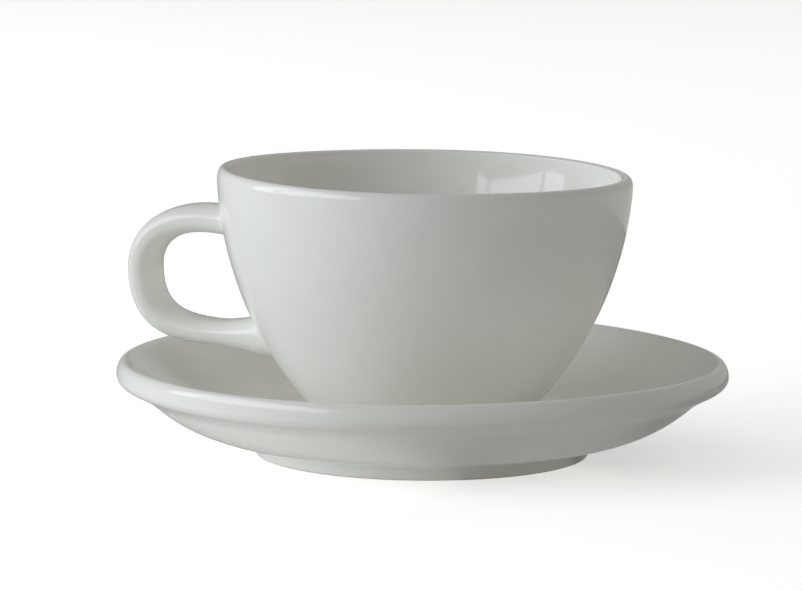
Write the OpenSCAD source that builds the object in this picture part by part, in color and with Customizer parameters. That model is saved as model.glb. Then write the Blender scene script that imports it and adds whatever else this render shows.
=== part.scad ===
// Glazed coffee cup with a strap handle, standing on its saucer. Millimetres.
// The saucer's foot stands on z = 0, its centre is the origin, and the handle points along -X.

/* [Cup] */
// Diameter of the cup at its widest, just under the lip
cup_d = 98.6; // [86:0.2:112]
// Height of the cup from its foot to the top of the lip
cup_h = 60.2; // [52:0.2:74]
// Thickness of the rounded lip
lip_t = 3.8; // [2.6:0.1:5]
// Thickness of the wall low down, where it leaves the foot
wall_t = 4.6; // [3:0.1:6]
// Lean of the wall from upright where it leaves the foot, in degrees
wall_lean = 44.7; // [36:0.1:52]
// How far the wall's pull stays inside the widest radius
belly_in = 0.4; // [0:0.1:3]
// Straight height of the wall just under the lip
lip_run = 1.6; // [0.5:0.1:6]
// Thickness of the cup's floor
cup_floor_t = 5; // [3:0.1:8]

/* [Cup foot] */
// Diameter of the foot ring where it stands
cup_foot_d = 48; // [42:0.5:54]
// Height of the foot ring
cup_foot_h = 2.5; // [2:0.1:4]
// Width of the foot ring
cup_foot_w = 4; // [3:0.1:6]
// How far the foot ring widens on its way up to the wall
cup_foot_flare = 0.9; // [0:0.1:2]
// Depth of the hollow inside the foot ring
cup_foot_hollow = 1.8; // [1:0.1:2.4]

/* [Handle] */
// Reach of the handle beyond the cup's widest radius
handle_reach = 23.8; // [18:0.1:32]
// Drop from the top of the lip to the middle of the upper joint
handle_drop = 13.8; // [12:0.1:18]
// Height of the middle of the lower joint above the cup's foot
handle_low = 19.3; // [17:0.1:22]
// Thickness of the strap down to its bulge
handle_t = 6.7; // [5.4:0.1:8]
// How much thinner the strap grows from there to the lower joint
low_taper = 1.1; // [0:0.1:1.6]
// Width of the strap
handle_w = 14.6; // [11:0.1:19]
// Squareness of the strap's section, 2 being an ellipse
handle_square = 2.5; // [2:0.1:4]
// Rise of the strap as it leaves the upper joint, in degrees
top_rise = 15; // [0:1:20]
// Rise of the strap as it leaves the lower joint, in degrees
low_rise = 2.5; // [0:0.1:12]
// Extra thickness of the strap at the lower joint
low_flare_t = 4.6; // [0:0.1:6]
// Extra width of the strap at the lower joint
low_flare_w = 3.4; // [0:0.1:6]
// Length over which the strap flares to the lower joint
low_flare_run = 13.6; // [8:0.2:20]
// Fillet of slip and glaze round both joints
joint_fillet = 0.6; // [0.4:0.1:2]
// Length of that fillet along the strap
joint_run = 3; // [2:0.1:7]

/* [Saucer] */
// Diameter of the saucer
saucer_d = 145; // [134:0.5:162]
// Height of the saucer's rim above the table
saucer_h = 22.7; // [20:0.1:26]
// Thickness of the saucer's floor
saucer_floor_t = 4.4; // [3.2:0.1:6]
// Thickness of the saucer's sloping side
side_t = 5; // [4:0.1:6.5]
// Height of the rolled rim
rim_h = 7.4; // [6:0.1:9]
// Width of the rolled rim outside the crease under it
rim_w = 6.4; // [5:0.1:8]
// Distance of the rim's ridge in from its edge
ridge_in = 2; // [1.2:0.1:3]
// Drop from the rim's ridge to its widest line
nose_drop = 3.4; // [2.6:0.1:4.2]
// Width of the crease under the rolled rim
crease_w = 1.6; // [0.8:0.1:2.4]
// Height of the crease under the rolled rim
crease_h = 1.2; // [0.6:0.1:2]
// Width of the flat round the well, before the dish climbs
dish_flat = 6.8; // [4:0.1:10]

/* [Saucer foot and well] */
// Diameter of the saucer's foot ring where it stands
saucer_foot_d = 79; // [74:0.2:86]
// Height of the foot ring up its outside
saucer_foot_h = 3.9; // [3:0.1:5]
// Width of the foot ring
saucer_foot_w = 4.4; // [3.4:0.1:6]
// How far the foot ring spreads on its way up to the underside
saucer_foot_flare = 0.4; // [0:0.1:2]
// Depth of the hollow inside the foot ring
saucer_foot_hollow = 2.6; // [1.8:0.1:3.2]
// Depth of the well that keeps the cup in the middle
well_depth = 0.8; // [0.4:0.1:1.2]
// Gap between the cup's foot and the edge of the well
well_gap = 2.4; // [1:0.1:3]

/* [Hidden] */
$fn = 128;

glaze = "#e8e7e2";
edge_r = 0.7;
edge_steps = 4;
wall_steps = 22;
bend_steps = 8;
strap_steps = 20;
strap_sides = 24;

cup_r = cup_d / 2;
lip_r = lip_t / 2;
cup_foot_r = cup_foot_d / 2;
saucer_r = saucer_d / 2;
saucer_foot_r = saucer_foot_d / 2;
cup_z = saucer_foot_hollow + saucer_floor_t;
rim_z = cup_z + cup_h;

// Curves through pulled points, by halving steps between them
function along(p, t) =
    len(p) == 1 ? p[0] : along([for (i = [1:len(p) - 1]) (1 - t) * p[i - 1] + t * p[i]], t);
function curve(p, n) = [for (i = [0:n]) along(p, i / n)];
function heading(p, t) =
    let (d = along([for (i = [1:len(p) - 1]) p[i] - p[i - 1]], t)) d / norm(d);
function arc(c, rx, rz, from, to, n) =
    [for (i = [0:n]) let (a = from + (to - from) * i / n) c + [rx * cos(a), rz * sin(a)]];
function reversed(p) = [for (i = [len(p) - 1:-1:0]) p[i]];

// Outside of the cup's wall from the top of the foot ring to the start of the lip
wall_foot = [cup_foot_r + cup_foot_flare, cup_z + cup_foot_h];
wall_top = [cup_r, rim_z - lip_r];
belly_r = cup_r - belly_in;
belly = [belly_r, wall_foot[1] + (belly_r - wall_foot[0]) / tan(wall_lean)];
wall = [wall_foot, belly, wall_top - [0, lip_run], wall_top];
foot_blend = 0.03;
wall_by_height = [for (p = curve(wall, 2 * wall_steps)) [p[1], p[0]]];
function wall_r(z) = lookup(z, wall_by_height);

// Inside of the wall, thinning from the floor to the lip
inside_from = 0.12;
function wall_inside(t) =
    let (d = heading(wall, t), thick = wall_t + (lip_t - wall_t) * t)
    along(wall, t) + thick * [-d[1], d[0]];
cup_inside_z = cup_z + cup_foot_hollow + cup_floor_t;
bowl_edge = wall_inside(inside_from);
bowl_way = heading(wall, inside_from);
bowl_turn_r = bowl_edge[0] - (bowl_edge[1] - cup_inside_z) * bowl_way[0] / bowl_way[1];
bowl_turn = [bowl_turn_r, cup_inside_z];
bowl_flat = [bowl_turn_r / 2, cup_inside_z];

module cup_outline() {
    foot_side = [cup_foot_r, cup_z + edge_r];
    polygon(concat(
        [[0, cup_z]],
        arc(foot_side - [edge_r, 0], edge_r, edge_r, -90, 0, edge_steps),
        curve([(foot_side + wall_foot) / 2, wall_foot, along(wall, foot_blend)], edge_steps),
        [for (i = [1:wall_steps]) along(wall, foot_blend + (1 - foot_blend) * i / wall_steps)],
        arc([cup_r - lip_r, rim_z - lip_r], lip_r, lip_r, 0, 90, bend_steps),
        [[0, rim_z]]
    ));
}

module cup_hollow() {
    inside = [for (i = [0:wall_steps]) wall_inside(inside_from + (1 - inside_from) * i / wall_steps)];
    polygon(concat(
        [[0, cup_inside_z]],
        curve([bowl_flat, bowl_turn, bowl_edge], bend_steps),
        [for (i = [1:wall_steps]) inside[i]],
        arc([cup_r - lip_r, rim_z - lip_r], lip_r, lip_r, 180, 90, bend_steps),
        [[cup_r - lip_r, rim_z + edge_r], [0, rim_z + edge_r]]
    ));
}

module foot_hollow() {
    hollow_r = cup_foot_r - cup_foot_w;
    hollow_z = cup_z + cup_foot_hollow;
    polygon([
        [0, cup_z - edge_r],
        [hollow_r + edge_r, cup_z - edge_r],
        [hollow_r + edge_r, cup_z],
        [hollow_r, cup_z + edge_r],
        [hollow_r - edge_r, hollow_z],
        [0, hollow_z]
    ]);
}

module cup_body() {
    color(glaze) rotate_extrude() difference() {
        cup_outline();
        cup_hollow();
        foot_hollow();
    }
}

// Middle line of the strap in the plane of the handle: distance from the cup's axis, and height
strap_root = 5;
strap_out = cup_r + handle_reach - handle_t / 2;
top_z = rim_z - handle_drop;
low_z = cup_z + handle_low;
bulge_share = 0.575;
bulge = [strap_out, low_z + bulge_share * (top_z - low_z)];
top_root = [wall_r(top_z) - strap_root, top_z - strap_root * tan(top_rise)];
low_root = [wall_r(low_z) - strap_root, low_z - strap_root * tan(low_rise)];
top_pull = 0.736;
top_shoulder = 0.64;
low_shoulder = 1.213;
low_pull = 0.543;
function lift(angle) = [cos(angle), sin(angle)];
strap_top = [
    top_root,
    top_root + top_pull * (strap_out - top_root[0]) * lift(top_rise),
    bulge + [0, top_shoulder * (top_z - bulge[1])],
    bulge
];
strap_low = [
    bulge,
    bulge - [0, low_shoulder * (bulge[1] - low_z)],
    low_root + low_pull * (strap_out - low_root[0]) * lift(low_rise),
    low_root
];

// One station of the strap holds its place, its heading and half its width and thickness.
// Stations crowd towards the joints, where the section changes most.
function fade(gap, run, ease) = pow(max(0, 1 - max(0, gap) / run), ease);
flare_ease = 1.5;
fillet_ease = 2;
function station(path, t, low) =
    let (
        at = along(path, t),
        spread = low * fade(at[0] - wall_r(at[1]), low_flare_run, flare_ease),
        wide = handle_w + spread * low_flare_w,
        thick = handle_t - low * t * low_taper + spread * low_flare_t
    )
    [at, heading(path, t), wide / 2, thick / 2];
crowding = 1.4;
function crowded(i) = pow(i / strap_steps, crowding);
stations = concat(
    [for (i = [0:strap_steps - 1]) station(strap_top, crowded(i), 0)],
    [for (i = [0:strap_steps]) station(strap_low, 1 - crowded(strap_steps - i), 1)]
);

// Section of the strap, an ellipse drawn out towards a rounded oblong.
// Each point swells into the fillet as it nears the wall.
function bulged(s) = sign(s) * pow(abs(s), 2 / handle_square);
function strap_point(s, a, swell) =
    let (
        way = s[1],
        across = (s[2] + swell) * bulged(cos(a)),
        out = (s[3] + swell) * bulged(sin(a))
    )
    [way[1] * out - s[0][0], across, s[0][1] + way[0] * out];
function wall_gap(p) = norm([p[0], p[1]]) - wall_r(p[2]);
function ring(s) = [
    for (k = [0:strap_sides - 1])
        let (a = 360 * k / strap_sides, gap = wall_gap(strap_point(s, a, 0)))
        strap_point(s, a, joint_fillet * fade(gap, joint_run, fillet_ease))
];

module strap() {
    last = len(stations) - 1;
    sides = [
        for (i = [0:last - 1], k = [0:strap_sides - 1])
            let (
                a = i * strap_sides + k,
                b = i * strap_sides + (k + 1) % strap_sides
            )
            each [[a, b, b + strap_sides], [a, b + strap_sides, a + strap_sides]]
    ];
    polyhedron(
        points = [for (s = stations) each ring(s)],
        faces = concat(
            sides,
            [[for (k = [strap_sides - 1:-1:0]) k]],
            [[for (k = [0:strap_sides - 1]) last * strap_sides + k]]
        )
    );
}

module handle() {
    color(glaze) difference() {
        strap();
        rotate_extrude() cup_outline();
    }
}

// Underside and top of the saucer, each from the middle out to the rim
nose_z = saucer_h - nose_drop;
flange_r = saucer_r - rim_w;
flange_z = saucer_h - rim_h;
ridge_r = saucer_r - ridge_in;
crease = [flange_r - crease_w, flange_z - crease_h];
foot_spread = [saucer_foot_r + saucer_foot_flare, saucer_foot_h];
under_pull = 0.63;
under_turn = foot_spread + [under_pull * (crease[0] - foot_spread[0]), 0];
under = [foot_spread, under_turn, crease];
under_blend = 0.05;
dish_z = cup_z + well_depth;
well_r = cup_foot_r + well_gap;
dish_start = [well_r + well_depth + dish_flat, dish_z];
dish_pull = 0.52;
ridge_fall = 0.56;
dish_end_r = flange_r + edge_r;
dish_end = [dish_end_r, saucer_h - ridge_fall * (ridge_r - dish_end_r)];
up_and_in = 135;
dish = [
    dish_start,
    dish_start + [dish_pull * (dish_end_r - dish_start[0]), 0],
    (under_turn + crease) / 2 + side_t * lift(up_and_in),
    dish_end
];
ridge_way = heading(dish, 1);
ridge_turn = [dish_end_r + (saucer_h - dish_end[1]) * ridge_way[0] / ridge_way[1], saucer_h];
ridge = [dish_end, ridge_turn, [ridge_r, saucer_h]];

module saucer() {
    foot_in = saucer_foot_r - saucer_foot_w;
    foot_side = [saucer_foot_r, edge_r];
    color(glaze) rotate_extrude() polygon(concat(
        [[0, saucer_foot_hollow], [foot_in - edge_r, saucer_foot_hollow]],
        [[foot_in, edge_r], [foot_in + edge_r, 0]],
        arc(foot_side - [edge_r, 0], edge_r, edge_r, -90, 0, edge_steps),
        curve([(foot_side + foot_spread) / 2, foot_spread, along(under, under_blend)], bend_steps),
        [for (i = [1:wall_steps]) along(under, under_blend + (1 - under_blend) * i / wall_steps)],
        [[flange_r - crease_w / 2, flange_z]],
        arc([flange_r, nose_z], rim_w, nose_z - flange_z, -90, 0, bend_steps),
        [for (p = arc([ridge_r, nose_z], ridge_in, nose_drop, 0, 90, bend_steps)) if (p[1] > nose_z) p],
        [for (i = [bend_steps - 1:-1:1]) along(ridge, i / bend_steps)],
        reversed(curve(dish, wall_steps)),
        [[well_r + well_depth, dish_z], [well_r, cup_z], [0, cup_z]]
    ));
}

saucer();
cup_body();
handle();
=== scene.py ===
import math
from bisect import bisect

import bmesh
import bpy
from mathutils import Matrix, Vector, noise


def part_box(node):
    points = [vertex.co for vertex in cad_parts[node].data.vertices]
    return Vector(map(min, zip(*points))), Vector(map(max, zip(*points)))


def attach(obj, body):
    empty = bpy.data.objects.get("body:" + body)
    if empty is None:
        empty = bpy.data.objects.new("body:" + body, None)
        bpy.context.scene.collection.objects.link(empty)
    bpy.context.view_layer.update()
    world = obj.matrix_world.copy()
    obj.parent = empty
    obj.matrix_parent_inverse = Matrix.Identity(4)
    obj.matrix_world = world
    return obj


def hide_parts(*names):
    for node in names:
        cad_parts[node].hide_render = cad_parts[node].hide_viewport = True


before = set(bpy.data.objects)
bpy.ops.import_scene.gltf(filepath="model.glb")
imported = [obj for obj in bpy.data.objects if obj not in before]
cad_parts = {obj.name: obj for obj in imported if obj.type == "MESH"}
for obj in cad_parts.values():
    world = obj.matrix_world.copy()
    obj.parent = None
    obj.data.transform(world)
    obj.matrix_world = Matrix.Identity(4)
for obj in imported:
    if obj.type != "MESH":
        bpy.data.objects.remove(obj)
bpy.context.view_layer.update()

scene = bpy.context.scene
mm = 0.001
mergeGap = 0.0005 * mm       # seam points nearer than this become one
print("frame:", ", ".join(sorted(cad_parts)))


# Camera: a long lens a little above the rim, a touch rolled
shot = {
    "distance": 1100.0,     # mm from the aim point
    "bearing": 17.0,        # degrees round from -Y towards +X
    "elevation": 7.865,
    "roll": 0.41,
    "lens": 208.66,
    "sensor": 36.0,
    "clipEnd": 50.0,        # metres
    "aimHigh": 37.45,       # mm above the table
    "aimLeft": 5.23,        # mm to the picture's left of the cup's axis
}
bearing = math.radians(shot["bearing"])
towardsCamera = Vector((math.sin(bearing), -math.cos(bearing), 0))
pictureRight = Vector((math.cos(bearing), math.sin(bearing), 0))


def placeCamera():
    lift = math.radians(shot["elevation"])
    roll = math.radians(shot["roll"])
    back = towardsCamera * math.cos(lift) + Vector((0, 0, math.sin(lift)))
    up = back.cross(pictureRight)
    rolledRight = pictureRight * math.cos(roll) + up * math.sin(roll)
    rolledUp = up * math.cos(roll) - pictureRight * math.sin(roll)
    aim = Vector((0, 0, shot["aimHigh"])) - pictureRight * shot["aimLeft"]
    turn = Matrix((rolledRight, rolledUp, back)).transposed().to_4x4()
    lens = bpy.data.cameras.new("longLens")
    lens.lens = shot["lens"]
    lens.sensor_width = shot["sensor"]
    lens.clip_end = shot["clipEnd"]
    camera = bpy.data.objects.new("camera", lens)
    scene.collection.objects.link(camera)
    camera.matrix_world = Matrix.Translation((aim + back * shot["distance"]) * mm) @ turn
    scene.camera = camera


placeCamera()
print("camera placed")


# Curves in the plane of a profile, as (distance from the axis, height) in mm; a curve's pulls are its two
# ends and the points between that draw it
def curvePoint(pulls, t):
    while len(pulls) > 1:
        pulls = [a.lerp(b, t) for a, b in zip(pulls, pulls[1:])]
    return pulls[0]


def curveHeading(pulls, t):
    return curvePoint([b - a for a, b in zip(pulls, pulls[1:])], t).normalized()


def curvePoints(pulls, steps, start=0.0):
    return [curvePoint(pulls, start + (1 - start) * i / steps) for i in range(steps + 1)]


def arcPoints(centre, reach, start, stop, steps):
    turns = [math.radians(start + (stop - start) * i / steps) for i in range(steps + 1)]
    return [centre + Vector((reach.x * math.cos(a), reach.y * math.sin(a))) for a in turns]


def lifted(degrees):
    return Vector((math.cos(math.radians(degrees)), math.sin(math.radians(degrees))))


def softened(corners, cut, steps=5):
    # a run of straight lines whose inner corners are rounded off
    points = [corners[0]]
    for before, corner, after in zip(corners, corners[1:], corners[2:]):
        start = corner + (before - corner).normalized() * cut
        stop = corner + (after - corner).normalized() * cut
        points += curvePoints([start, corner, stop], steps)
    return points + [corners[-1]]


def footRing(ring, low, spread):
    # from the middle of the hollow underneath, round the ring and half way up its outside
    footR = ring["footDiameter"] / 2
    slope = ring["edgeRound"]
    hollow = low + ring["footHollow"]
    return softened([
        Vector((0, hollow)),
        Vector((footR - ring["footWide"] - slope, hollow)),
        Vector((footR - ring["footWide"] + slope, low)),
        Vector((footR, low)),
        (Vector((footR, low)) + spread) / 2,
    ], slope)


def turned(outline, steps):
    # spin a profile once round the upright axis, like clay on a jigger wheel
    bm = bmesh.new()
    verts = [bm.verts.new((p.x * mm, 0, p.y * mm)) for p in outline]
    for a, b in zip(verts, verts[1:]):
        bm.edges.new((a, b))
    bmesh.ops.spin(bm, geom=bm.verts[:] + bm.edges[:], cent=(0, 0, 0), axis=(0, 0, 1),
                   angle=math.tau, steps=steps, use_merge=True)
    bmesh.ops.remove_doubles(bm, verts=bm.verts, dist=mergeGap)
    bmesh.ops.recalc_face_normals(bm, faces=bm.faces)
    return bm


def rimWave(at, waves):
    # height that a rim gained or lost in the kiln, as (waves round, mm, bearing of a crest)
    angle = math.atan2(at.y, at.x)
    return sum(high * math.cos(count * (angle - math.radians(crest))) for count, high, crest in waves)


# Materials
def linear(code):
    # sRGB hex to the linear colour that Blender works in
    parts = [int(code[i:i + 2], 16) / 255 for i in (1, 3, 5)]
    return [c / 12.92 if c <= 0.04045 else ((c + 0.055) / 1.055) ** 2.4 for c in parts] + [1]


def addNode(tree, kind, settings, links=()):
    # a setting is one of the node's properties, or else a socket by name or number; the sockets of a colour
    # mix are 0 for the share, 6 and 7 for the colours and 2 for the result
    made = tree.nodes.new(kind)
    for name, value in settings.items():
        if isinstance(name, str) and hasattr(made, name):
            setattr(made, name, value)
        else:
            made.inputs[name].default_value = value
    for name, source in dict(links).items():
        tree.links.new(source, made.inputs[name])
    return made


def perMm(size):
    return 1 / (size * mm)      # a noise scale for features of that size


def newMaterial(name):
    material = bpy.data.materials.new(name)
    material.use_nodes = True
    tree = material.node_tree
    tree.nodes.clear()
    return material, tree


glazeLook = {
    "pale": "#F6F6F1",
    "deep": "#F3F3EB",
    "bare": "#F0EDE4",          # where the glaze has run thin
    "pooled": "#F1F1E9",        # where it has gathered
    "cloudSize": 24.0,          # mm
    "cloudRange": (0.45, 0.9),  # noise over which pale turns to deep
    "mottleSize": 3.2,
    "mottleShare": 0.35,
    "roughness": (0.05, 0.1),   # least and most, by the mottle
    "ior": 1.5,                 # of a glass
    "peelSize": 1.6,
    "peelDepth": 0.004,
    "swellSize": 11.0,
    "swellDepth": 0.02,
    "bendGain": 3.0,            # how soon a bend, in radians per mm, thins or pools the glaze
    "shortEdge": 0.05,          # mm, shorter edges count as this long
    "easings": 4,               # times that depth is evened out with its neighbours
    "depthRange": (0.1, 0.9),   # depth over which the glaze turns to bare or to pooled
}


# Feldspar glaze on stoneware: a smooth glassy coat fired off-white, faintly clouded, with a soft
# orange peel that makes its reflections waver, thinner on edges and deeper in hollows
def glazedStoneware():
    material, tree = newMaterial("glazedStoneware")
    place = addNode(tree, "ShaderNodeTexCoord", {}).outputs["Object"]
    cloud = addNode(tree, "ShaderNodeTexNoise",
                    {"Scale": perMm(glazeLook["cloudSize"]), "Detail": 3}, {"Vector": place})
    mottle = addNode(tree, "ShaderNodeTexNoise",
                     {"Scale": perMm(glazeLook["mottleSize"]), "Detail": 4}, {"Vector": place})
    blotch = addNode(tree, "ShaderNodeMath", {"operation": "MULTIPLY_ADD", 1: glazeLook["mottleShare"]},
                     {0: mottle.outputs["Fac"], 2: cloud.outputs["Fac"]})
    low, high = glazeLook["cloudRange"]
    shade = addNode(tree, "ShaderNodeMapRange", {"From Min": low, "From Max": high},
                    {"Value": blotch.outputs["Value"]})
    body = addNode(tree, "ShaderNodeMix",
                   {"data_type": "RGBA", 6: linear(glazeLook["pale"]), 7: linear(glazeLook["deep"])},
                   {0: shade.outputs["Result"]})
    depth = addNode(tree, "ShaderNodeAttribute", {"attribute_name": "glazeDepth"}).outputs["Fac"]
    low, high = glazeLook["depthRange"]
    thin = addNode(tree, "ShaderNodeMapRange", {"From Min": -low, "From Max": -high}, {"Value": depth})
    thick = addNode(tree, "ShaderNodeMapRange", {"From Min": low, "From Max": high}, {"Value": depth})
    edged = addNode(tree, "ShaderNodeMix", {"data_type": "RGBA", 7: linear(glazeLook["bare"])},
                    {0: thin.outputs["Result"], 6: body.outputs[2]})
    pooled = addNode(tree, "ShaderNodeMix", {"data_type": "RGBA", 7: linear(glazeLook["pooled"])},
                     {0: thick.outputs["Result"], 6: edged.outputs[2]})
    low, high = glazeLook["roughness"]
    gloss = addNode(tree, "ShaderNodeMapRange", {"To Min": low, "To Max": high},
                    {"Value": mottle.outputs["Fac"]})
    swell = addNode(tree, "ShaderNodeTexNoise", {"Scale": perMm(glazeLook["swellSize"]), "Detail": 1},
                    {"Vector": place})
    peel = addNode(tree, "ShaderNodeTexNoise", {"Scale": perMm(glazeLook["peelSize"]), "Detail": 2},
                   {"Vector": place})
    waver = addNode(tree, "ShaderNodeBump", {"Distance": glazeLook["swellDepth"] * mm},
                    {"Height": swell.outputs["Fac"]})
    skin = addNode(tree, "ShaderNodeBump", {"Distance": glazeLook["peelDepth"] * mm},
                   {"Height": peel.outputs["Fac"], "Normal": waver.outputs["Normal"]})
    surface = addNode(tree, "ShaderNodeBsdfPrincipled", {"IOR": glazeLook["ior"]},
                      {"Base Color": pooled.outputs[2], "Roughness": gloss.outputs["Result"],
                       "Normal": skin.outputs["Normal"]})
    addNode(tree, "ShaderNodeOutputMaterial", {}, {"Surface": surface.outputs["BSDF"]})
    return material


bareLook = {
    "pale": "#D8CDBB",
    "dark": "#B9AB96",
    "gritSize": 0.5,            # mm
    "gritDepth": 0.05,
    "roughness": (0.65, 0.9),   # least and most, by the grit
    "ior": 1.5,
}


# Bare stoneware on the ground-off foot rings: matt, biscuit coloured and gritty
def bareStoneware():
    material, tree = newMaterial("bareStoneware")
    place = addNode(tree, "ShaderNodeTexCoord", {}).outputs["Object"]
    grit = addNode(tree, "ShaderNodeTexNoise", {"Scale": perMm(bareLook["gritSize"]), "Detail": 5},
                   {"Vector": place})
    speckle = addNode(tree, "ShaderNodeMix",
                      {"data_type": "RGBA", 6: linear(bareLook["dark"]), 7: linear(bareLook["pale"])},
                      {0: grit.outputs["Fac"]})
    low, high = bareLook["roughness"]
    rough = addNode(tree, "ShaderNodeMapRange", {"To Min": low, "To Max": high},
                    {"Value": grit.outputs["Fac"]})
    tooth = addNode(tree, "ShaderNodeBump", {"Distance": bareLook["gritDepth"] * mm},
                    {"Height": grit.outputs["Fac"]})
    surface = addNode(tree, "ShaderNodeBsdfPrincipled", {"IOR": bareLook["ior"]},
                      {"Base Color": speckle.outputs[2], "Roughness": rough.outputs["Result"],
                       "Normal": tooth.outputs["Normal"]})
    addNode(tree, "ShaderNodeOutputMaterial", {}, {"Surface": surface.outputs["BSDF"]})
    return material


glaze = glazedStoneware()
bareClay = bareStoneware()
print("materials mixed")


# Finish of each piece
def markGlazeDepth(bm):
    # glaze runs thin over outside edges and gathers in hollows: -1 thin, 1 pooled
    depth = bm.verts.layers.float.new("glazeDepth")
    bm.normal_update()
    shortest, gain = glazeLook["shortEdge"], glazeLook["bendGain"]
    for vert in bm.verts:
        bends = [e.calc_face_angle_signed(0) / max(e.calc_length() / mm, shortest) for e in vert.link_edges]
        vert[depth] = max(-1, min(1, -gain * sum(bends) / max(len(bends), 1)))
    for _ in range(glazeLook["easings"]):
        eased = [sum(e.other_vert(v)[depth] for e in v.link_edges) / len(v.link_edges) for v in bm.verts]
        for vert, value in zip(bm.verts, eased):
            vert[depth] = value


def wipeFoot(bm, top):
    # the second material, bare clay, on faces below that height
    for face in bm.faces:
        high = max(v.co.z for v in face.verts) / mm
        face.material_index = 1 if high < top else 0


def newPiece(bm, name, materials):
    mesh = bpy.data.meshes.new(name)
    bm.to_mesh(mesh)
    bm.free()
    for material in materials:
        mesh.materials.append(material)
    piece = bpy.data.objects.new(name, mesh)
    scene.collection.objects.link(piece)
    return piece


def finishPiece(bm, name, body, node, materials):
    markGlazeDepth(bm)
    for face in bm.faces:
        face.smooth = True
    piece = newPiece(bm, name, materials)
    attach(piece, body)
    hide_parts(node)
    print(name, "has", len(piece.data.polygons), "faces")


# Bowl of the cup, sizes in mm
bowl = {
    "lipThick": 3.8,
    "lipFine": 2.9,             # fettled finer than it was turned
    "lipOut": 1.5,              # crown of the lip to its outside
    "lipDrop": 2.4,             # how far the lip's rounding comes down outside
    "lipIn": 0.5,               # and inside
    "wallThick": 4.6,           # low down, where it leaves the foot
    "wallSwell": 0.35,          # a touch thicker again at half height, on the inside
    "wallLean": 44.7,           # degrees from upright, low down
    "bellyIn": 0.4,             # the belly is drawn to a point this far inside the lip's outside
    "lipRun": 1.6,              # and from there to one this far straight below the lip
    "floorThick": 5.0,
    "footDiameter": 48.0,
    "footHigh": 2.5,
    "footWide": 4.0,
    "footFlare": 0.9,
    "footHollow": 1.8,
    "edgeRound": 0.6,
    "bareHigh": 0.25,           # glaze is wiped off the foot up to here
    "hipBlend": 0.03,           # share of the wall that runs into the foot
    "insideFrom": 0.12,         # share of the wall where the floor begins to round up into it
    "lookupSteps": 400,         # fine enough to look the wall's radius up by its height
    "wallSteps": 34,            # steps along each stretch of the profile
    "hipSteps": 6,
    "lipOutSteps": 14,
    "lipInSteps": 12,
    "floorSteps": 12,
    "turnSteps": 192,
    "kilnWaves": [(1, 0.75, 197), (3, 0.16, 77)],
    "kilnRise": 6,              # power that keeps the waves near the rim
    "throwingDepth": 0.035,     # faint unevenness left by the forming
    "throwingSize": 17.0,
    "throwingFrom": 20.0,       # it fades out inside this radius
    "dent": 0.5,                # pressed in at the rim on the handle's side, fading out downwards
    "dentBearing": 197,
    "dentReach": 8.0,
}
bowlLow, bowlHigh = [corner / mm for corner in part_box("cup_body")]
lipRound = bowl["lipThick"] / 2
wallFoot = Vector((bowl["footDiameter"] / 2 + bowl["footFlare"], bowlLow.z + bowl["footHigh"]))
wallTop = Vector((bowlHigh.x, bowlHigh.z - lipRound))
bellyRun = wallTop.x - bowl["bellyIn"] - wallFoot.x
belly = wallFoot + Vector((bellyRun, bellyRun / math.tan(math.radians(bowl["wallLean"]))))
wall = [wallFoot, belly, wallTop - Vector((0, bowl["lipRun"])), wallTop]
wallSamples = curvePoints(wall, bowl["lookupSteps"])
wallHeights = [p.y for p in wallSamples]


def wallRadius(height):
    i = max(1, min(bisect(wallHeights, height), len(wallSamples) - 1))
    a, b = wallSamples[i - 1], wallSamples[i]
    return a.x + (b.x - a.x) * (height - a.y) / (b.y - a.y)


def wallGap(at):
    return math.hypot(at.x, at.y) - wallRadius(at.z)


def insideWall(t):
    way = curveHeading(wall, t)
    at = curvePoint(wall, t)
    high = (at.y - wallFoot.y) / (wallTop.y - wallFoot.y)
    thick = bowl["wallThick"] + (bowl["lipFine"] - bowl["wallThick"]) * high
    thick += bowl["wallSwell"] * 4 * high * (1 - high)      # all of it at half height
    return at + thick * Vector((-way.y, way.x))


def kilnShift(at):
    # what firing and forming did to the bowl and the handle that was luted to it
    high = max(0, (at.z - bowlLow.z) / (bowlHigh.z - bowlLow.z))
    out = Vector((at.x, at.y, 0)).normalized()
    spread = min(1, at.xy.length / bowl["throwingFrom"])
    uneven = noise.noise(at / bowl["throwingSize"]) * bowl["throwingDepth"] * spread
    facing = math.cos(math.atan2(at.y, at.x) - math.radians(bowl["dentBearing"]))
    beyond = max(0, wallGap(at)) / bowl["dentReach"]
    dent = bowl["dent"] * high * max(0, facing) ** 2 * max(0, 1 - beyond)
    wave = high ** bowl["kilnRise"] * rimWave(at, bowl["kilnWaves"])
    return Vector((0, 0, wave)) + out * (uneven - dent)


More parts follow.
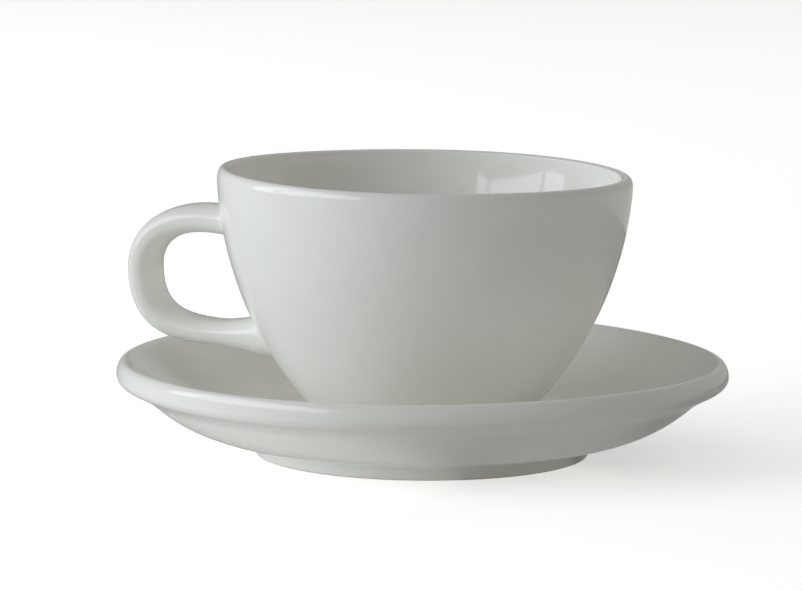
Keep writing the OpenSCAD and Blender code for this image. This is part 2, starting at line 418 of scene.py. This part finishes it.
def bowlOutline():
    insideZ = bowlLow.z + bowl["footHollow"] + bowl["floorThick"]
    foot = footRing(bowl, bowlLow.z, wallFoot)
    blend, steps = bowl["hipBlend"], bowl["wallSteps"]
    hip = curvePoints([foot[-1], wallFoot, curvePoint(wall, blend)], bowl["hipSteps"])[1:]
    lipLow, lipHigh = bowlHigh.z - bowl["lipDrop"], bowlHigh.z - bowl["lipIn"]
    crown = wallRadius(lipLow) - bowl["lipOut"]
    outside = [p for p in curvePoints(wall, steps, blend)[1:] if p.y < lipLow - bowl["edgeRound"]]
    outRound = Vector((bowl["lipOut"], bowl["lipDrop"]))
    inRound = Vector((bowl["lipFine"] - bowl["lipOut"], bowl["lipIn"]))
    lip = arcPoints(Vector((crown, lipLow)), outRound, 0, 90, bowl["lipOutSteps"])
    lip += arcPoints(Vector((crown, lipHigh)), inRound, 90, 180, bowl["lipInSteps"])[1:]
    start = bowl["insideFrom"]
    inside = [insideWall(start + (1 - start) * i / steps) for i in range(steps - 1, -1, -1)]
    inside = [p for p in inside if p.y < lipHigh - bowl["lipIn"]]
    way = curveHeading(wall, start)
    edge = inside[-1]
    turn = Vector((edge.x - (edge.y - insideZ) * way.x / way.y, insideZ))
    floorEdge = Vector((turn.x / 2, insideZ))
    floor = curvePoints([edge, turn, floorEdge], bowl["floorSteps"])[1:]
    return foot + hip + outside + lip + inside + floor + [Vector((0, insideZ))]


def makeBowl():
    bm = turned(bowlOutline(), bowl["turnSteps"])
    wipeFoot(bm, bowlLow.z + bowl["bareHigh"])
    for vert in bm.verts:
        vert.co += kilnShift(vert.co / mm) * mm
    finishPiece(bm, "cupBowl", "cup", "cup_body", [glaze, bareClay])


makeBowl()


# Strap handle, sizes in mm; it runs from inside the wall at the top, round, and back into the wall
strap = {
    "drop": 13.8,               # top of the lip to the middle of the upper joint
    "low": 19.3,                # foot of the cup to the middle of the lower joint
    "thick": 6.7,
    "lowTaper": 1.1,            # how much thinner it grows from its bulge to the lower joint
    "wide": 14.6,
    "square": 2.5,              # 2 is an ellipse, more is a rounder oblong
    "topRise": 15.0,            # degrees that each end leaves the wall upwards
    "lowRise": 2.5,
    "lowFlareThick": 4.6,       # gained at the lower joint
    "lowFlareWide": 3.4,
    "lowFlareRun": 13.6,
    "lowFlareCurve": 1.5,
    "root": 5.0,                # how far the middle line starts inside the wall
    "bulgeShare": 0.575,        # outermost point, as a share of the way up between the joints
    "topPull": 0.736,           # pulls of the curves, as shares of the reach and of the height
    "topShoulder": 0.64,
    "lowShoulder": 1.213,
    "lowPull": 0.543,
    "pinch": 0.5,               # thumbed down on top where it meets the wall
    "pinchRun": 3.5,
    "filletEdge": 1.0,          # slip smoothed round both joints, over and under the strap
    "filletSide": 2.6,          # and along its sides
    "feather": 0.01,            # the slip's thin edge goes this far into the wall
    "sink": 0.8,                # how far the hidden ends go into the wall
    "around": 64,               # columns of the mesh, then its rows
    "along": 96,
    "filletRows": 10,
    "topSpan": (0, 0.6),        # travel in which each joint is looked for, from inside the wall outwards
    "lowSpan": (2, 1.4),
    "halvings": 40,
    "probe": 0.01,              # small steps along the strap and round it
    "probeTurn": 0.02,
}
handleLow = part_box("handle")[0] / mm
strapOut = -handleLow.x - strap["thick"] / 2
topZ = bowlHigh.z - strap["drop"]
lowZ = bowlLow.z + strap["low"]
bulge = Vector((strapOut, lowZ + strap["bulgeShare"] * (topZ - lowZ)))


def strapRoot(high, rise):
    # start of the strap's middle line, hidden inside the wall
    return Vector((wallRadius(high), high)) - Vector((1, math.tan(math.radians(rise)))) * strap["root"]


topRoot = strapRoot(topZ, strap["topRise"])
lowRoot = strapRoot(lowZ, strap["lowRise"])
strapTop = [
    topRoot,
    topRoot + strap["topPull"] * (strapOut - topRoot.x) * lifted(strap["topRise"]),
    bulge + Vector((0, strap["topShoulder"] * (topZ - bulge.y))),
    bulge,
]
strapLow = [
    bulge,
    bulge - Vector((0, strap["lowShoulder"] * (bulge.y - lowZ))),
    lowRoot + strap["lowPull"] * (strapOut - lowRoot.x) * lifted(strap["lowRise"]),
    lowRoot,
]


def squared(s):
    return math.copysign(abs(s) ** (2 / strap["square"]), s)


def strapPoint(travel, angle):
    # travel runs 0 to 1 down the upper half and 1 to 2 down the lower half
    path, t = (strapTop, travel) if travel < 1 else (strapLow, travel - 1)
    at = curvePoint(path, t)
    way = curveHeading(path, t)
    gap = max(0, at.x - wallRadius(at.y))
    wide, thick, pinch = strap["wide"], strap["thick"], 0
    if travel > 1:
        flare = max(0, 1 - gap / strap["lowFlareRun"]) ** strap["lowFlareCurve"]
        wide += flare * strap["lowFlareWide"]
        thick += flare * strap["lowFlareThick"] - t * strap["lowTaper"]
    else:
        pinch = strap["pinch"] * max(0, 1 - gap / strap["pinchRun"]) ** 2
    across = wide / 2 * squared(math.cos(angle))
    out = thick / 2 * squared(math.sin(angle)) - pinch * max(0, math.sin(angle))
    return Vector((way.y * out - at.x, across, at.y + way.x * out))


def wallNormal(at):
    step = 0.05
    lean = (wallRadius(at.z + step) - wallRadius(at.z - step)) / (2 * step)
    return Vector((at.x, at.y, -lean * math.hypot(at.x, at.y))).normalized()


def jointTravel(angle, inner, outer):
    # where a line along the strap comes through the wall
    for _ in range(strap["halvings"]):
        middle = (inner + outer) / 2
        if wallGap(strapPoint(middle, angle)) < 0:
            inner = middle
        else:
            outer = middle
    return (inner + outer) / 2


def jointCorner(angle, inner, outer):
    # corner between strap and wall, and the ways that lead from it along each of them
    travel = jointTravel(angle, inner, outer)
    nudge, turn = math.copysign(strap["probe"], outer - inner), strap["probeTurn"]
    corner = strapPoint(travel, angle)
    along = (strapPoint(travel + nudge, angle) - corner).normalized()
    around = strapPoint(travel, angle + turn) - strapPoint(travel, angle - turn)
    face = wallNormal(corner)
    up = along.cross(around)
    spread = (up - face * up.dot(face)).normalized()
    middle = strapPoint(travel, 0).lerp(strapPoint(travel, math.pi), 0.5)
    if spread.dot(corner - middle) < 0:
        spread.negate()
    speed = (strapPoint(travel + nudge, angle) - corner).length / abs(nudge)
    run = strap["filletEdge"] + (strap["filletSide"] - strap["filletEdge"]) * math.cos(angle) ** 2
    return {"corner": corner, "along": along, "spread": spread, "face": face, "run": run,
            "travel": travel + math.copysign(run / speed, outer - inner)}


def filletPoint(joint, t):
    # from the strap at t = 0, drawn towards the corner, out onto the wall at t = 1
    run = joint["run"]
    at = joint["corner"] + joint["along"] * run * (1 - t) ** 2 + joint["spread"] * run * t ** 2
    wanted = run * (1 - t) ** 2 * joint["along"].dot(joint["face"]) - strap["feather"] * t
    normal = wallNormal(at)
    for _ in range(2):      # the second pass takes up what the wall's curve left
        at += normal * (wanted - wallGap(at) * math.hypot(normal.x, normal.y))
    return at


def makeHandle():
    fillet, along = strap["filletRows"], strap["along"]
    rows = along + 2 * fillet + 2       # with a row at each end that is hidden in the wall
    bm = bmesh.new()
    # a unit square whose x goes round the strap and whose y goes along it
    bmesh.ops.create_grid(bm, x_segments=strap["around"], y_segments=rows, size=0.5)
    # a sharp line at the slip's edge keeps the hidden rows out of its shading
    for edge in bm.edges:
        ends = [round((v.co.y + 0.5) * rows) for v in edge.verts]
        edge.smooth = ends not in ([1, 1], [rows - 1, rows - 1])
    lines = {}
    for vert in bm.verts:
        column = round((vert.co.x + 0.5) * strap["around"]) % strap["around"]
        row = round((vert.co.y + 0.5) * rows)
        angle = math.tau * column / strap["around"]
        if column not in lines:
            lines[column] = jointCorner(angle, *strap["topSpan"]), jointCorner(angle, *strap["lowSpan"])
        top, low = lines[column]
        if row <= fillet:
            at = filletPoint(top, 1 - max(0, row - 1) / fillet)
        elif row >= rows - fillet:
            at = filletPoint(low, 1 - max(0, rows - 1 - row) / fillet)
        else:
            share = (row - 1 - fillet) / along
            at = strapPoint(top["travel"] + (low["travel"] - top["travel"]) * share, angle)
        if row in (0, rows):
            at -= wallNormal(at) * strap["sink"]
        vert.co = (at + kilnShift(at)) * mm
    bmesh.ops.remove_doubles(bm, verts=bm.verts, dist=mergeGap)
    bmesh.ops.holes_fill(bm, edges=[e for e in bm.edges if e.is_boundary], sides=0)
    bmesh.ops.recalc_face_normals(bm, faces=bm.faces)
    finishPiece(bm, "strapHandle", "cup", "handle", [glaze])


makeHandle()


# Saucer, sizes in mm
dish = {
    "sideThick": 5.0,
    "floorThick": 4.4,
    "rimHigh": 7.4,
    "rimWide": 6.4,
    "ridgeIn": 2.0,
    "noseDrop": 3.4,
    "creaseWide": 1.6,
    "creaseHigh": 1.2,
    "fillOut": 1.5,             # glaze gathers there and moves the crease out and up
    "fillUp": 0.5,
    "flatWide": 6.8,
    "footDiameter": 79.0,
    "footHigh": 3.9,            # up its outside
    "footWide": 4.4,
    "footFlare": 0.4,
    "footHollow": 2.6,
    "wellDepth": 0.8,
    "wellGap": 2.4,
    "wellRound": 0.5,
    "edgeRound": 0.6,
    "bareHigh": 0.25,
    "sideAngle": 135.0,         # degrees, the way that the side's thickness is measured
    "dishEnd": 0.7,             # the dish ends this far outside the root of the rim
    "underPull": 0.63,          # pulls of the curves under and in the dish
    "dishPull": 0.52,
    "ridgeFall": 0.56,          # slope from the ridge down into the dish
    "hipBlend": 0.05,           # share of the belly that runs into the foot
    "hipSteps": 10,             # steps along each stretch of the profile
    "bellySteps": 26,
    "bellyLeft": 2,             # steps of the belly that the filled crease takes up
    "tuckSteps": 16,
    "noseSteps": 16,
    "noseTuck": 7,              # steps of the nose that it takes up
    "ridgeSteps": 12,
    "insideSteps": 34,
    "turnSteps": 256,
    "kilnWaves": [(1, 0.29, 61), (2, 0.38, -57), (3, 0.26, -27)],
    "kilnFrom": 40.0,           # the warp grows outwards from this radius
}
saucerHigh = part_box("saucer")[1] / mm


def saucerOutline():
    rimR, rimZ = saucerHigh.y, saucerHigh.z
    noseZ = rimZ - dish["noseDrop"]
    flange = Vector((rimR - dish["rimWide"], rimZ - dish["rimHigh"]))
    ridge = Vector((rimR - dish["ridgeIn"], rimZ))
    crease = flange - Vector((dish["creaseWide"], dish["creaseHigh"]))
    spread = Vector((dish["footDiameter"] / 2 + dish["footFlare"], dish["footHigh"]))
    underTurn = spread + Vector((dish["underPull"] * (crease.x - spread.x), 0))
    filled = crease + Vector((dish["fillOut"], dish["fillUp"]))
    under = [spread, underTurn, filled]
    foot = footRing(dish, 0, spread)
    blend, tucked = dish["hipBlend"], dish["noseTuck"]
    hip = curvePoints([foot[-1], spread, curvePoint(under, blend)], dish["hipSteps"])[1:]
    belly = curvePoints(under, dish["bellySteps"], blend)[1:-dish["bellyLeft"]]
    noseRound = Vector((dish["rimWide"], noseZ - flange.y - dish["fillUp"]))
    nose = arcPoints(Vector((flange.x, noseZ)), noseRound, -90, 0, dish["noseSteps"])
    tuck = curvePoints([belly[-1], filled, nose[tucked]], dish["tuckSteps"])[1:]
    topRound = Vector((dish["ridgeIn"], dish["noseDrop"]))
    top = arcPoints(Vector((ridge.x, noseZ)), topRound, 0, 90, dish["ridgeSteps"])[1:]
    wellR = bowl["footDiameter"] / 2 + dish["wellGap"]
    wellZ = dish["footHollow"] + dish["floorThick"]
    dishZ = wellZ + dish["wellDepth"]
    start = Vector((wellR + dish["wellDepth"] + dish["flatWide"], dishZ))
    endR = flange.x + dish["dishEnd"]
    end = Vector((endR, rimZ - dish["ridgeFall"] * (ridge.x - endR)))
    bowlCurve = [
        start,
        start + Vector((dish["dishPull"] * (endR - start.x), 0)),
        (underTurn + crease) / 2 + dish["sideThick"] * lifted(dish["sideAngle"]),
        end,
    ]
    way = curveHeading(bowlCurve, 1)
    ridgeTurn = Vector((endR + (rimZ - end.y) * way.x / way.y, rimZ))
    shoulder = curvePoints([ridge, ridgeTurn, end], dish["ridgeSteps"])[1:-1]
    inside = curvePoints(bowlCurve[::-1], dish["insideSteps"])
    well = softened([
        start,
        Vector((wellR + dish["wellDepth"], dishZ)),
        Vector((wellR, wellZ)),
        Vector((0, wellZ)),
    ], dish["wellRound"])[1:]
    return foot + hip + belly + tuck + nose[tucked + 1:] + top + shoulder + inside + well


def makeSaucer():
    bm = turned(saucerOutline(), dish["turnSteps"])
    wipeFoot(bm, dish["bareHigh"])
    for vert in bm.verts:
        at = vert.co / mm
        out = max(0, (math.hypot(at.x, at.y) - dish["kilnFrom"]) / (saucerHigh.y - dish["kilnFrom"]))
        vert.co.z += out ** 2 * rimWave(at, dish["kilnWaves"]) * mm
    finishPiece(bm, "saucerDish", "saucer", "saucer", [glaze, bareClay])


makeSaucer()


# Room: soft daylight from a window on the left, plain sheets round it and a pale table
room = {
    "fill": "#FFFEFC",
    "fillStrength": 0.25,
    "lampDistance": 1.6,        # metres
    "tableColour": "#F7F7F6",
    "tableRough": 0.9,
    "sheetSides": 64,
}
# a window close by on the left, which shows in the glaze alone; metres
window = {
    "left": 0.27,
    "top": 0.34,
    "radiance": 3.3,
    "colour": "#F2F8FF",
    # each pane runs from nearer the camera to farther, with the height of its sill at both ends
    "panes": [
        ((0.392, 0.149), (0.300, 0.149)),
        ((0.283, 0.149), (0.040, 0.090)),
        ((0.026, 0.085), (-0.051, 0.085)),
    ],
}
# each lamp is a flat sheet, in degrees round from the camera to the left and degrees above the table;
# a mirrored one shows in the glaze
lamps = [
    {"name": "rightWall", "round": (-178, -110), "up": (0, 45), "radiance": 0.18, "colour": "#FFFFFF",
     "mirrored": True, "lights": False},
    {"name": "sillSheet", "round": (77, 93), "up": (1, 9), "radiance": 13.1, "colour": "#E1EDFF"},
    {"name": "windowSheet", "round": (43.5, 75), "up": (9, 38), "radiance": 3.45, "colour": "#EEF5FF"},
    {"name": "curtainSheet", "round": (77, 93), "up": (9, 38), "radiance": 2.95, "colour": "#F9FAFF"},
    {"name": "sideSheet", "round": (94, 125), "up": (9, 38), "radiance": 0.86, "colour": "#FFFCF4"},
    {"name": "rearSheet", "round": (125, 155), "up": (5, 38), "radiance": 1.44, "colour": "#FBFCFF"},
    {"name": "backRightCard", "round": (-150, -110), "up": (1, 45), "radiance": 0.5, "colour": "#FFF7E8"},
    {"name": "rightCard", "round": (-110, -60), "up": (1, 25), "radiance": 0.32, "colour": "#FFF8F4"},
]
# the table is one sheet for the camera and, just under it, sheets that throw light up at the pieces or show
# in their glaze; of these, the glowing ones are painted light standing in for lit table or backdrop and the
# darker ones are painted shade standing in for table in shadow; drop is in mm, reach and out in metres, and
# round turns as for a lamp
sheets = [
    {"name": "brightSheet", "seenBy": "camera", "reach": 8.0, "drop": 0.0, "glow": 0.6},
    # painted shadow: a dark patch that stands in for the saucer's shadow on the table at the right, seen
    # only by light bouncing up
    {"name": "paintedShadowPatch", "seenBy": "diffuse", "reach": 0.06, "drop": 0.03, "round": -95, "out": 0.09,
     "colour": "#5C5C5A"},
    # painted light: a small glowing patch by the foot that stands in for light bounced off the table
    {"name": "paintedGlowPatch", "seenBy": "diffuse", "reach": 0.022, "drop": 0.02, "round": -38, "out": 0.052,
     "glow": 0.07},
    # painted light: a glowing patch that stands in for the table lit by the window, throwing light up at
    # the foot and belly
    {"name": "paintedSunlitPatch", "seenBy": "diffuse", "reach": 0.055, "drop": 0.04, "round": 55, "out": 0.055,
     "glow": 0.18},
    # painted shade: a greyer disc under the pieces that stands in for the table lying in their shade, so
    # less light bounces up
    {"name": "paintedShadeSheet", "seenBy": "diffuse", "reach": 0.13, "drop": 0.045, "colour": "#E2E2E0"},
    {"name": "lightingSheet", "seenBy": "diffuse", "reach": 8.0, "drop": 0.05},
    {"name": "mirroredSheet", "seenBy": "glossy", "reach": 0.16, "drop": 0.1, "glow": 0.14},
    {"name": "paleBackdrop", "seenBy": "glossy", "reach": 0.6, "drop": 0.2, "round": -135, "out": 0.9,
     "glow": 0.34},
]


def outwards(degrees):
    turn = math.radians(degrees)
    return towardsCamera * math.cos(turn) - pictureRight * math.sin(turn)


def hangLamps():
    reach = room["lampDistance"]
    for lamp in lamps:
        low, high = [math.tan(math.radians(a)) * reach for a in lamp["up"]]
        start, stop = lamp["round"]
        away = outwards((start + stop) / 2)
        light = bpy.data.lights.new(lamp["name"], "AREA")
        light.shape = "RECTANGLE"
        light.size = 2 * reach * math.tan(math.radians(stop - start) / 2)
        light.size_y = high - low
        light.color = linear(lamp["colour"])[:3]
        light.energy = lamp["radiance"] * light.size * light.size_y * math.pi
        sheet = bpy.data.objects.new(light.name, light)
        scene.collection.objects.link(sheet)
        sheet.location = away * reach + Vector((0, 0, (low + high) / 2))
        sheet.rotation_euler = away.to_track_quat("Z", "Y").to_euler()
        sheet.visible_camera = False
        sheet.visible_glossy = lamp.get("mirrored", False)
        sheet.visible_diffuse = lamp.get("lights", True)


def hangWindow():
    material, tree = newMaterial("windowLight")
    shine = addNode(tree, "ShaderNodeEmission",
                    {"Color": linear(window["colour"]), "Strength": window["radiance"]})
    addNode(tree, "ShaderNodeOutputMaterial", {}, {"Surface": shine.outputs["Emission"]})
    bm = bmesh.new()
    for near, far in window["panes"]:
        corners = [near, far, (far[0], window["top"]), (near[0], window["top"])]
        places = [towardsCamera * along - pictureRight * window["left"] + Vector((0, 0, high))
                  for along, high in corners]
        bm.faces.new([bm.verts.new(place) for place in places])
    panes = newPiece(bm, "window", [material])
    panes.visible_camera = panes.visible_diffuse = panes.visible_shadow = False


def fillRoom():
    world = bpy.data.worlds.new("evenFill")
    world.use_nodes = True
    sky = world.node_tree.nodes["Background"]
    sky.inputs["Color"].default_value = linear(room["fill"])
    sky.inputs["Strength"].default_value = room["fillStrength"]
    scene.world = world


def layTable():
    for sheet in sheets:
        material, tree = newMaterial(sheet["name"])
        colour = linear(sheet.get("colour", room["tableColour"]))
        surface = addNode(tree, "ShaderNodeBsdfPrincipled",
                          {"Base Color": colour, "Roughness": room["tableRough"], "Specular IOR Level": 0.0,
                           "Emission Color": colour, "Emission Strength": sheet.get("glow", 0.0)})
        addNode(tree, "ShaderNodeOutputMaterial", {}, {"Surface": surface.outputs["BSDF"]})
        place = outwards(sheet.get("round", 0)) * sheet.get("out", 0)
        place.z = -sheet["drop"] * mm
        bm = bmesh.new()
        bmesh.ops.create_circle(bm, cap_ends=True, segments=room["sheetSides"], radius=sheet["reach"])
        bmesh.ops.translate(bm, verts=bm.verts, vec=place)
        table = newPiece(bm, sheet["name"], [material])
        table.visible_camera = sheet["seenBy"] == "camera"
        table.visible_diffuse = table.visible_shadow = sheet["seenBy"] == "diffuse"
        table.visible_glossy = sheet["seenBy"] == "glossy"


hangLamps()
hangWindow()
fillRoom()
layTable()
scene.view_settings.view_transform = "Standard"
print("room lit")
